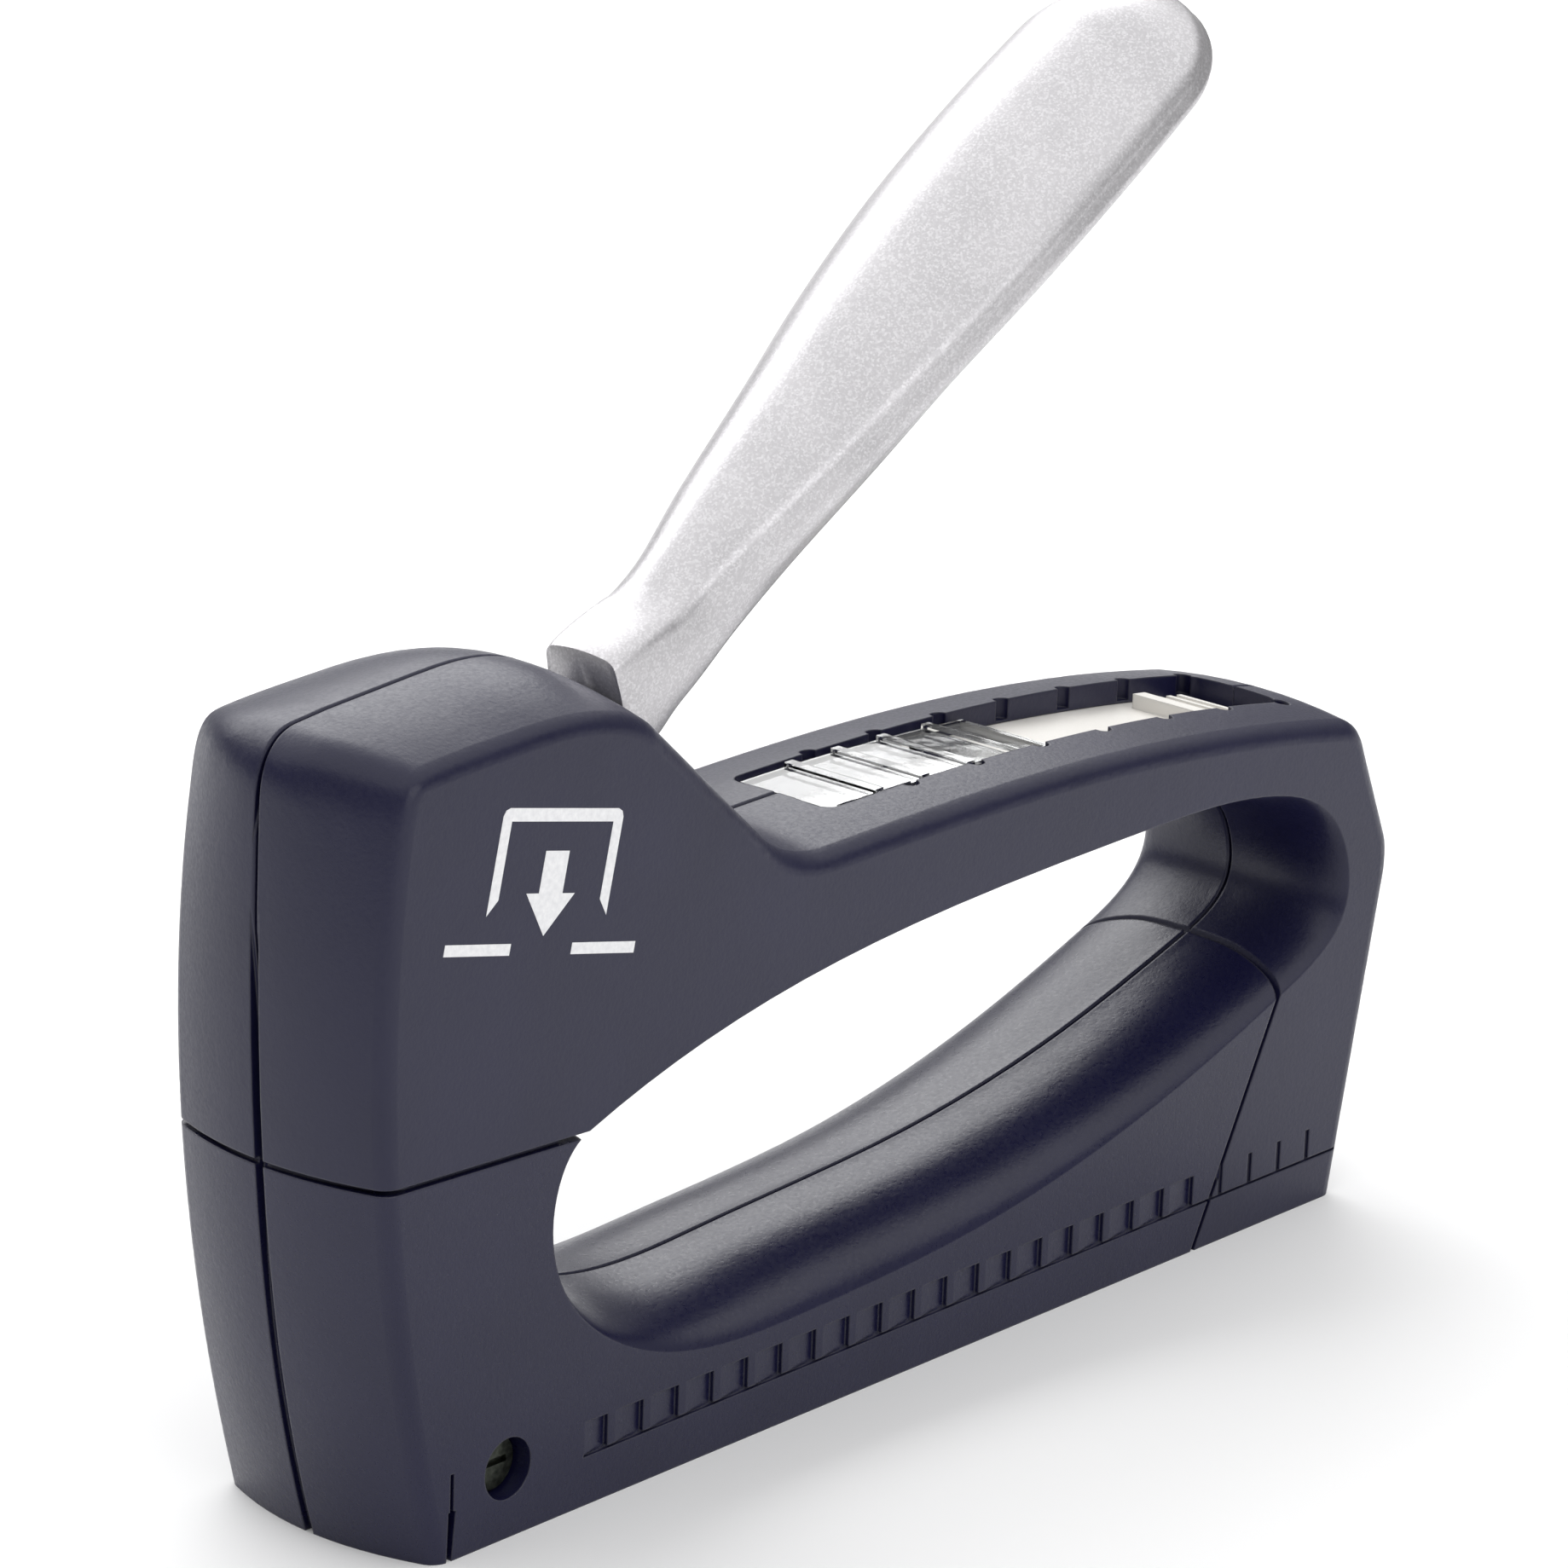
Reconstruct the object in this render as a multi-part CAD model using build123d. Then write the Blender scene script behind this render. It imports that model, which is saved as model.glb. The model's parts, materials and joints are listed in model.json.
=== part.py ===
from build123d import *
import os
from math import cos, radians, sin, sqrt, tan

# Hand staple gun. Millimetres, +Z up, +X towards the rear of the handle.
# The origin is the middle of the footprint, on the face that the gun rests on. The drawing's
# own zero is DRAWING_ZERO_X from there, and main() moves every piece by that much.
# The nose points to -X, and the left side of the gun is -Y.

# ---- driving dimensions -------------------------------------------------------------
HALF_LENGTH = 78.0
DRAWING_ZERO_X = -0.6
HALF_WIDTH = 13.8
EDGE_RADIUS = 2.1
FOOT_STEP_Z = 9.35
STATIONS = (0.0, 0.35, 0.65, 0.86, 1.0)
OPENING_STATIONS = (0.0, 0.4, 0.7, 0.88, 0.97, 1.0)
OPENING_ROUNDNESS = 0.985

# seams between the shells
SEAM_WIDTH = 0.6
MIDDLE_SEAM_WIDTH = 0.3
SEAM_DEPTH = 0.8
SEAM_BEVEL = 0.35
NOSE_SEAM_WIDTH = 1.1
NOSE_SEAM_X = -62.0
NOSE_SEAM_Z = 38.5
NOSE_SEAM_TILT = 2.2
GRIP_SEAM_FOOT_X = 46.9
GRIP_SEAM_TILT = 26.5

# cavities inside the shells, as (x, z) outlines
HEAD_CAVITY = (
    (-72.6, 40.5),
    (-72.6, 77.6),
    (-71.4, 78.4),
    (-46.5, 78.4),
    (-41.0, 75.4),
    (-31.0, 66.0),
    (-31.0, 53.0),
    (-45.0, 42.4),
    (-54.2, 40.5),
)
NOSE_CAVITY = (
    (-72.4, 41.0),
    (-70.4, 22.0),
    (-68.3, 6.0),
    (-67.7, -1.0),
    (-65.0, -1.0),
    (-65.0, 13.0),
    (-54.2, 15.0),
    (-54.2, 41.0),
)
HEAD_CAVITY_HALF_WIDTH = 8.2
NOSE_CAVITY_HALF_WIDTH = 7.6
MAGAZINE_HALF_WIDTH = 6.7
MAGAZINE_FRONT_X = -67.6
MAGAZINE_CEILING_Z = 13.4

# lever and pivot
PIVOT_X = -47.0
PIVOT_Z = 58.0
PIN_RADIUS = 2.5
PIN_HALF_LENGTH = 12.0
PIVOT_BOSS_RADIUS = 5.2
BUSH_RADIUS = 3.6
BUSH_HALF_LENGTH = 2.6
ARM_RADIUS = 19.3
ARM_REST_ANGLE = 15.0
ARM_THICKNESS = 3.0
TIP_RADIUS = 2.2
FINGER_HALF_HEIGHT = 1.2
LEVER_SLOT_HALF_WIDTH = 5.3

# striker, standing upright in the nose
DRIVER_X = -66.0
DRIVER_THICKNESS = 0.8
DRIVER_HALF_WIDTH = 5.0
BLADE_TIP_Z = 1.0
HAMMER_FOOT_Z = 49.0
HAMMER_TOP_Z = 57.0
HAMMER_HALF_WIDTH = 6.2
SHELF_Z = 43.5
SPRING_SEAT_Z = 77.0
FRAME_TOP_Z = 78.2
FRAME_FOOT_Z = 15.4
SPRING_RADIUS = 4.6
SPRING_WIRE = 1.4
SPRING_TURNS = 6

# magazine along the foot
CHANNEL_HALF_WIDTH = 6.5
CHANNEL_GAUGE = 0.8
CHANNEL_FRONT_X = -65.3
CHANNEL_REAR_X = 61.0
CHANNEL_FOOT_Z = 0.5
CHANNEL_TOP_Z = 13.0
RAIL_HALF_WIDTH = 4.4
RAIL_GAUGE = 0.7
RAIL_TOP_Z = 7.4
ROD_Z = 10.4
ROD_RADIUS = 1.2
ROD_FRONT_X = -60.0
STAPLE_HALF_CROWN = 5.2
STAPLE_WIRE = 0.6
STAPLE_LEG = 6.0
STRIP_FRONT_X = -65.0
STRIP_LENGTH = 39.0
FOLLOWER_GAP = 0.3
FOLLOWER_LENGTH = 9.0
CAP_FRONT_X = 61.5
CAP_REAR_X = 71.9
FEED_WIRE = 0.5
FEED_RADIUS = 2.0
FEED_PITCH = 2.6

# rule along the foot of both sides
RULE_ZERO_X = -43.5
RULE_PITCH = 5.0
RULE_TICKS = 23
RULE_BASE_Z = 5.3
RULE_TICK_HEIGHT = 3.3
RULE_FIRST_CELL = 3.3
RULE_CELL_DEPTH = 0.55
RULE_GROOVE_DEPTH = 0.4
RULE_LINE = 0.3

# storage slot in the top of the handle; drops are measured down from the handle's top line
SLOT_HALF_WIDTH = 6.6
TRACK_HALF_WIDTH = 7.2
TRACK_CENTRE_X = 3.0
TRACK_CENTRE_Z = -367.5
TRACK_RADIUS = 427.0
SLOT_FRONT_X = -6.5
SLOT_REAR_X = 67.0
WINDOW_REAR_X = 28.6
WINDOW_TOP = 1.3
WINDOW_FLOOR = 2.1
LID_TOP = 2.4
LID_FLOOR = 3.3
TRACK_FLOOR = 3.35
LID_FRONT_X = 30.0
LID_REAR_X = 65.0
LID_TRAVEL = 23.0
FIT = 0.05
STORE_HALF_WIDTH = 5.5
STORE_OUTLINE = ((-2.0, 49.4), (50.0, 49.4), (61.0, 48.6), (61.0, 52.4), (35.0, 55.3), (-2.0, 56.6))
SPARE_LENGTH = 36.0
NOTCH_COUNT = 7
NOTCH_FIRST_X = 5.9
NOTCH_PITCH = 10.1
NOTCH_RADIUS = 1.0

# fasteners; each housing screw has its x, its z and the radius of its boss
SCREW_SITES = (
    (-54.0, 73.0, 4.0),
    (-54.5, 45.2, 4.0),
    (-22.0, 50.6, 2.8),
    (67.0, 47.9, 2.8),
    (65.0, 17.0, 2.8),
    (46.0, 16.3, 2.8),
    (-56.4, 24.0, 2.8),
)
BODY_SCREW_RADIUS = 1.5
SCREW_HEAD_RADIUS = 2.7
SCREW_HEAD_Y = 8.6
SCREW_REACH = 8.0
BOSS_LENGTH = 11.0
NOSE_HOLE = (-57.2, 7.1)
NOSE_HOLE_RADIUS = 3.1
NOSE_HOLE_FLOOR_Y = 10.4
NOSE_SCREW_RADIUS = 1.3
SLIT_X = -64.6


# ---- small helpers ------------------------------------------------------------------
def side_face(outline, y=0.0):
    """Face with a side-view outline of (x, z) points or edges, in the plane y."""
    plane = Plane(origin=(0, y, 0), x_dir=(1, 0, 0), z_dir=(0, -1, 0))
    return plane * make_face(outline)


def side_prism(points, half_width, centre_y=0.0):
    """Polygon of (x, z) points extruded equally to both sides of centre_y."""
    face = side_face(Polyline(*points, close=True), centre_y)
    return extrude(face, amount=half_width, both=True)


def block(x_range, y_range, z_range):
    """Axis-aligned box between three pairs of limits."""
    size = [high - low for low, high in (x_range, y_range, z_range)]
    middle = [(high + low) / 2 for low, high in (x_range, y_range, z_range)]
    return Pos(*middle) * Box(*size)


def rod_y(x, z, radius, y_range):
    """Cylinder along Y."""
    low, high = y_range
    return Pos(x, (low + high) / 2, z) * Rot(90, 0, 0) * Cylinder(radius, high - low)


def rod_x(y, z, radius, x_range):
    """Cylinder along X."""
    low, high = x_range
    return Pos((low + high) / 2, y, z) * Rot(0, 90, 0) * Cylinder(radius, high - low)


def mirrored(shape):
    """The same shape on the other side of the centre plane."""
    return mirror(shape, about=Plane.XZ)


def resized(points, growth):
    """Outline points moved outwards from their middle by growth at the outline's ends."""
    centre_x = (max(x for x, z in points) + min(x for x, z in points)) / 2
    centre_z = (max(z for x, z in points) + min(z for x, z in points)) / 2
    reach_x = max(x for x, z in points) - centre_x
    reach_z = max(z for x, z in points) - centre_z
    grow_x = 1 + growth / reach_x
    grow_z = 1 + growth / reach_z
    return [
        (centre_x + (x - centre_x) * grow_x, centre_z + (z - centre_z) * grow_z) for x, z in points
    ]


def blend_points(middle, side, amount):
    """Points between the centre-plane outline and the outline of the side face."""
    return [(a + (c - a) * amount, b + (d - b) * amount) for (a, b), (c, d) in zip(middle, side)]


# ---- housing ------------------------------------------------------------------------
OUTER_MIDDLE = (
    (-69.2, -1.0),
    (-75.2, 26.0),
    (-77.4, 56.0),
    (-77.3, 73.6),
    (-72.6, 80.4),
    (-58.5, 81.7),
    (-46.0, 81.2),
    (-38.6, 77.3),
    (-22.6, 62.6),
    (-13.0, 59.1),
    (24.0, 59.2),
    (69.7, 54.5),
    (73.6, 51.4),
    (78.4, 39.6),
    (78.6, 34.8),
    (73.9, 9.4),
    (72.7, 9.2),
    (72.3, 2.0),
    (70.2, -1.0),
)
OUTER_SIDE = (
    (-66.2, -1.0),
    (-72.2, 26.0),
    (-74.2, 54.0),
    (-72.3, 73.0),
    (-69.0, 77.9),
    (-58.5, 78.6),
    (-46.0, 78.2),
    (-38.6, 75.3),
    (-22.6, 61.0),
    (-13.0, 57.8),
    (24.0, 58.1),
    (69.1, 53.4),
    (72.8, 50.6),
    (77.9, 39.4),
    (78.2, 34.6),
    (73.4, 9.4),
    (72.3, 9.2),
    (71.9, 2.0),
    (69.9, -1.0),
)
OPENING_SIDE = (
    (-47.4, 38.1),
    (-20.0, 45.5),
    (10.0, 48.5),
    (36.0, 49.3),
    (57.0, 48.2),
    (68.0, 42.8),
    (70.6, 33.0),
    (60.0, 25.5),
    (40.0, 18.6),
    (14.0, 12.9),
    (-14.0, 10.9),
    (-38.0, 13.4),
    (-49.8, 22.6),
    (-51.7, 31.0),
)
OPENING_MIDDLE = (
    (-46.8, 37.6),
    (-20.0, 44.4),
    (10.0, 47.2),
    (36.0, 47.9),
    (56.0, 46.6),
    (65.8, 41.4),
    (67.6, 33.8),
    (58.6, 28.2),
    (40.0, 22.7),
    (14.0, 18.2),
    (-14.0, 16.4),
    (-38.0, 17.2),
    (-47.9, 22.9),
    (-50.6, 30.6),
)


def outer_curve(p):
    """Closed side-view outline of the housing through the rows of OUTER_MIDDLE or OUTER_SIDE."""
    rise = (1.0, 0.12)
    nose = Spline(p[0], p[1], p[2], p[3])
    brow = Spline(p[3], p[4], tangents=[nose % 1, rise])
    crown = Spline(p[4], p[5], p[6], p[7], tangents=[rise, (0.74, -0.68)])
    slope = Line(p[7], p[8])
    heel = Spline(p[8], p[9], tangents=[(0.74, -0.68), (1.0, 0.03)])
    spine = Spline(p[9], p[10], p[11], tangents=[(1.0, 0.03), (1.0, -0.19)])
    back = Line(p[12], p[13])
    shoulder = Spline(p[11], p[12], tangents=[(1.0, -0.19), back % 0])
    elbow = Spline(p[13], p[14], tangents=[back % 1, (-0.19, -1.0)])
    foot = Polyline(p[14], p[15], p[16], p[17], p[18], p[0])
    return Curve() + [nose, brow, crown, slope, heel, spine, shoulder, back, elbow, foot]


def outer_outline(amount):
    """Outline of the housing; amount runs from 0 at the middle to 1 at the side."""
    return outer_curve(blend_points(OUTER_MIDDLE, OUTER_SIDE, amount))


def opening_outline(amount):
    """Outline of the finger opening; amount is 0 at the middle and 1 at the side face."""
    points = blend_points(OPENING_MIDDLE, OPENING_SIDE, amount)
    return Spline(*points, periodic=True)


def filleted_half():
    """Right half of the closed housing, with its outer edges rounded."""
    sections = [side_face(outer_outline(t * t), t * HALF_WIDTH) for t in STATIONS]
    half = loft(sections)
    cheek = half.faces().sort_by(Axis.Y)[-1]
    soft_edges = [e for e in cheek.edges() if e.center().Z > FOOT_STEP_Z]
    return fillet(soft_edges, EDGE_RADIUS)


def housing_blank():
    """Right half of the housing with its finger opening and the bevels of the middle seam."""
    blank = filleted_half() - opening_cutter()
    inner_face = blank.faces().sort_by(Axis.Y)[0]
    seam_edges = [e for e in inner_face.edges() if e.center().Z > 1]
    blank = chamfer(seam_edges, SEAM_BEVEL)
    return blank - block((-90, 90), (-1, HALF_WIDTH + 1), (-5, 0))


def opening_cutter():
    """Right half of the finger opening, whose walls are crowned like a rounded bar."""
    sections = []
    rim_depth = 1 - sqrt(1 - OPENING_ROUNDNESS**2)
    for step in OPENING_STATIONS:
        amount = (1 - sqrt(1 - (OPENING_ROUNDNESS * step) ** 2)) / rim_depth
        sections.append(side_face(opening_outline(amount), step * HALF_WIDTH))
    return loft(sections)


def nose_seam_plane():
    """Plane of the seam between the head and the base, just under the finger opening's top."""
    tilt = radians(NOSE_SEAM_TILT)
    return Plane(
        origin=(NOSE_SEAM_X, 0, NOSE_SEAM_Z),
        x_dir=(cos(tilt), 0, -sin(tilt)),
        z_dir=(sin(tilt), 0, cos(tilt)),
    )


def grip_seam_plane():
    """Slanted plane where the grip bar meets the rear column."""
    tilt = radians(GRIP_SEAM_TILT)
    return Plane(
        origin=(GRIP_SEAM_FOOT_X, 0, 0),
        x_dir=(0, 1, 0),
        z_dir=(cos(tilt), 0, -sin(tilt)),
    )


def base_region():
    """Everything below the nose seam and in front of the grip seam."""
    slope = tan(radians(NOSE_SEAM_TILT))
    front_z = NOSE_SEAM_Z + slope * (NOSE_SEAM_X + HALF_LENGTH + 5)
    corner_z = NOSE_SEAM_Z - slope * (-44.0 - NOSE_SEAM_X)
    grip_top_z = 32.0
    grip_top_x = GRIP_SEAM_FOOT_X + grip_top_z * tan(radians(GRIP_SEAM_TILT))
    grip_low_x = GRIP_SEAM_FOOT_X - 5 * tan(radians(GRIP_SEAM_TILT))
    outline = [
        (-HALF_LENGTH - 5, -5),
        (-HALF_LENGTH - 5, front_z),
        (-44.0, corner_z),
        (grip_top_x, grip_top_z),
        (grip_low_x, -5),
    ]
    return side_prism(outline, HALF_WIDTH + 2)


def track_solid(top_drop, bottom_drop, half_width, x_range):
    """Band concentric with the handle's top line, between two depths below it."""
    axis = (TRACK_CENTRE_X, 0, TRACK_CENTRE_Z)
    plane = Plane(origin=axis, x_dir=(1, 0, 0), z_dir=(0, -1, 0))
    ring = Circle(TRACK_RADIUS - top_drop) - Circle(TRACK_RADIUS - bottom_drop)
    low, high = x_range
    window = side_face(Polyline((low, 40), (high, 40), (high, 70), (low, 70), close=True))
    return extrude((plane * ring) & window, amount=half_width, both=True)


def plan_slot(half_width, x_range, corner):
    """Upright prism with rounded corners that trims the storage slot in plan."""
    low, high = x_range
    outline = RectangleRounded(high - low, 2 * half_width, corner)
    return Pos((low + high) / 2, 0, 40) * extrude(outline, amount=30)


def storage_cut():
    """Slot, lid tracks, edge notches and staple compartment in the handle's top."""
    well = track_solid(-4.0, TRACK_FLOOR, SLOT_HALF_WIDTH, (SLOT_FRONT_X, SLOT_REAR_X))
    well = well & plan_slot(SLOT_HALF_WIDTH, (SLOT_FRONT_X, SLOT_REAR_X), 2.0)
    window_track = track_solid(
        WINDOW_TOP - FIT, WINDOW_FLOOR + FIT, TRACK_HALF_WIDTH, (SLOT_FRONT_X, WINDOW_REAR_X)
    )
    lid_track = track_solid(
        LID_TOP - FIT, TRACK_FLOOR, TRACK_HALF_WIDTH, (LID_FRONT_X - LID_TRAVEL - 1, SLOT_REAR_X)
    )
    pocket = side_prism(STORE_OUTLINE, STORE_HALF_WIDTH)
    cut = well + window_track + lid_track + pocket
    for index in range(NOTCH_COUNT):
        x = NOTCH_FIRST_X + index * NOTCH_PITCH
        notch = Pos(x, SLOT_HALF_WIDTH, 60) * Cylinder(NOTCH_RADIUS, 30)
        cut += notch & track_solid(-4.0, WINDOW_FLOOR, TRACK_HALF_WIDTH + 2, (x - 2, x + 2))
    return cut


def ruler_cut():
    """Moulded rule along the foot of the right side: ramped cells, then plain ticks."""
    surface = HALF_WIDTH
    rear_x = RULE_ZERO_X + (RULE_TICKS - 1) * RULE_PITCH + RULE_PITCH
    low = RULE_BASE_Z
    groove_y = (surface - RULE_GROOVE_DEPTH, surface + 1)
    cut = block((RULE_ZERO_X - RULE_FIRST_CELL, rear_x), groove_y, (low - RULE_LINE, low))
    for index in range(RULE_TICKS):
        x = RULE_ZERO_X + index * RULE_PITCH
        top = low + RULE_TICK_HEIGHT
        if x < GRIP_SEAM_FOOT_X:
            start = x - (RULE_FIRST_CELL if index == 0 else RULE_PITCH - 0.9)
            ramp = Polyline(
                (start, surface + 0.01),
                (x, surface - RULE_CELL_DEPTH),
                (x, surface + 1),
                (start, surface + 1),
                close=True,
            )
            cell = extrude(Pos(0, 0, low - 0.1) * make_face(ramp), amount=top - low + 0.1)
            cut += cell
        else:
            cut += block((x - 0.7, x), groove_y, (low - 0.1, top))
    return cut


def nose_slit():
    """Short relief slit beside the nose tip, wider towards the foot."""
    y_range = (HALF_WIDTH - 3.5, HALF_WIDTH + 1)
    upper = block((SLIT_X - 0.3, SLIT_X + 0.2), y_range, (3.0, 8.8))
    lower = side_prism(
        [(SLIT_X - 0.7, -1), (SLIT_X - 0.5, 5.0), (SLIT_X + 0.5, 5.0), (SLIT_X - 0.1, -1)],
        2.2,
        HALF_WIDTH - 1.3,
    )
    return upper + lower


def lever_slot():
    """Slot in the rear of the head that the lever swings through."""
    outline = [
        (-36.0, 92.0),
        (-36.0, 74.0),
        (-40.0, 72.0),
        (-45.0, 52.0),
        (-30.5, 57.4),
        (-14.6, 59.87),
        (-14.6, 92.0),
    ]
    return side_prism(outline, LEVER_SLOT_HALF_WIDTH)


def housing_half():
    """Right half of the whole housing with its cavities, before it is split."""
    shape = housing_blank()
    shape -= side_prism(HEAD_CAVITY, HEAD_CAVITY_HALF_WIDTH)
    shape -= side_prism(NOSE_CAVITY, NOSE_CAVITY_HALF_WIDTH)
    cavity_y = (-MAGAZINE_HALF_WIDTH, MAGAZINE_HALF_WIDTH)
    shape -= block((MAGAZINE_FRONT_X, 80), cavity_y, (-1, MAGAZINE_CEILING_Z))
    bosses = [rod_y(x, z, radius, (0, BOSS_LENGTH)) for x, z, radius in SCREW_SITES]
    pivot_boss = rod_y(PIVOT_X, PIVOT_Z, PIVOT_BOSS_RADIUS, (BUSH_HALF_LENGTH + 0.1, BOSS_LENGTH))
    shape = shape + bosses + pivot_boss
    shape -= lever_slot()
    shape -= storage_cut()
    shape -= ruler_cut()
    shape -= nose_slit()
    shape -= rod_y(PIVOT_X, PIVOT_Z, PIN_RADIUS + 0.01, (0, PIN_HALF_LENGTH + 0.05))
    x, z = NOSE_HOLE
    shape -= rod_y(x, z, NOSE_HOLE_RADIUS, (NOSE_HOLE_FLOOR_Y, HALF_WIDTH + 1))
    shape -= rod_y(x, z, NOSE_SCREW_RADIUS + 0.05, (6, 11))
    for groove in (front_groove(), middle_groove(), nose_groove(), grip_groove()):
        shape -= groove
    return shape


def front_groove():
    """Wider groove of the middle seam down the front of the nose, tapering to the top."""
    edge = [(x + SEAM_DEPTH, z) for x, z in OUTER_MIDDLE[:4]]
    top = (OUTER_MIDDLE[4][0], OUTER_MIDDLE[4][1] - SEAM_DEPTH)
    foot = edge[0]
    front = side_face([Spline(*edge, top), Polyline(top, (-90, 90), (-90, -5), foot)])
    wide = NOSE_SEAM_WIDTH / 2
    narrow = MIDDLE_SEAM_WIDTH / 2
    taper = Polyline((wide, -5), (wide, 64), (narrow, 79), (narrow, 90), (-1, 90), (-1, -5), close=True)
    plan = Plane(origin=(-90, 0, 0), x_dir=(0, 1, 0), z_dir=(1, 0, 0)) * make_face(taper)
    return extrude(front, amount=wide, both=True) & extrude(plan, amount=40)


def middle_groove():
    """Narrow slit of the middle seam along the whole outline and round the finger opening."""
    outer = side_face(outer_curve(resized(OUTER_MIDDLE, -SEAM_DEPTH)))
    hole = side_face(Spline(*resized(OPENING_MIDDLE, SEAM_DEPTH), periodic=True))
    around = side_face(Polyline((-95, -10), (95, -10), (95, 100), (-95, 100), close=True))
    return extrude(around - (outer - hole), amount=MIDDLE_SEAM_WIDTH / 2, both=True)


def seam_slab(plane, core_points, outer_size):
    """Thin slab in a seam plane, left whole where the shells meet inside the wall."""
    slab = Rectangle(outer_size, outer_size) - make_face(core_points)
    return extrude(plane * slab, amount=SEAM_WIDTH / 2, both=True)


def nose_groove():
    """Groove of the seam that runs round the nose between head and base."""
    plane = nose_seam_plane()
    core = [
        ThreePointArc((-11.6, -10.9), (-14.0, 0), (-11.6, 10.9)),
        Polyline((-11.6, 10.9), (-10.4, 12.3), (-8.7, 13.0), (11.5, 13.0), (12.6, 10.5), (13.0, 0)),
        Polyline((13.0, 0), (12.6, -10.5), (11.5, -13.0), (-8.7, -13.0), (-10.4, -12.3), (-11.6, -10.9)),
    ]
    return seam_slab(plane, core, 44)


def grip_groove():
    """Groove of the slanted seam across the grip bar."""
    core = [
        ThreePointArc((-12.0, 29.3), (0, 31.9), (12.0, 29.3)),
        Polyline((12.0, 29.3), (13.0, 27.2), (13.0, 0.8), (-13.0, 0.8), (-13.0, 27.2), (-12.0, 29.3)),
    ]
    plane = grip_seam_plane()
    slab = seam_slab(plane, core, 76)
    return slab & block((40, 66), (-20, 20), (-1, 34))


def drill_right(shape):
    """Clearance holes and head recesses for the housing screws."""
    for x, z, _ in SCREW_SITES:
        shape -= rod_y(x, z, BODY_SCREW_RADIUS + 0.1, (-1, SCREW_HEAD_Y + 0.1))
        shape -= rod_y(x, z, SCREW_HEAD_RADIUS + 0.3, (SCREW_HEAD_Y, HALF_WIDTH + 1))
    return shape


def drill_left(shape):
    """Blind holes that the housing screws bite into."""
    for x, z, _ in SCREW_SITES:
        shape -= rod_y(x, z, BODY_SCREW_RADIUS + 0.02, (-SCREW_REACH - 0.5, 1))
    return shape


def make_housing():
    """The four moulded shells: head and base, left and right."""
    right = housing_half()
    left = drill_left(mirrored(right))
    right = drill_right(right)
    base = base_region()
    return {
        "head_shell_right": right - base,
        "head_shell_left": left - base,
        "base_shell_right": right & base,
        "base_shell_left": left & base,
    }


def make_screws():
    """Housing screws from the right side, and the two short screws in the nose."""
    body = []
    for x, z, _ in SCREW_SITES:
        shank = rod_y(x, z, BODY_SCREW_RADIUS, (-SCREW_REACH, SCREW_HEAD_Y))
        head = rod_y(x, z, SCREW_HEAD_RADIUS, (SCREW_HEAD_Y, SCREW_HEAD_Y + 2))
        drive_y = (SCREW_HEAD_Y + 0.9, SCREW_HEAD_Y + 3)
        cross = block((x - 1.7, x + 1.7), drive_y, (z - 0.35, z + 0.35))
        cross += block((x - 0.35, x + 0.35), drive_y, (z - 1.7, z + 1.7))
        body.append(shank + head - cross)
    x, z = NOSE_HOLE
    shank = rod_y(x, z, NOSE_SCREW_RADIUS, (CHANNEL_HALF_WIDTH + 0.3, NOSE_HOLE_FLOOR_Y))
    head = rod_y(x, z, NOSE_HOLE_RADIUS - 0.35, (NOSE_HOLE_FLOOR_Y, NOSE_HOLE_FLOOR_Y + 1.4))
    slot = block((x - 1.8, x + 1.8), (NOSE_HOLE_FLOOR_Y + 0.8, 13), (z - 0.35, z + 0.35))
    nose_screw = shank + head - slot
    return {
        "housing_screws": Compound(body),
        "nose_screws": Compound([nose_screw, mirrored(nose_screw)]),
    }


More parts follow.
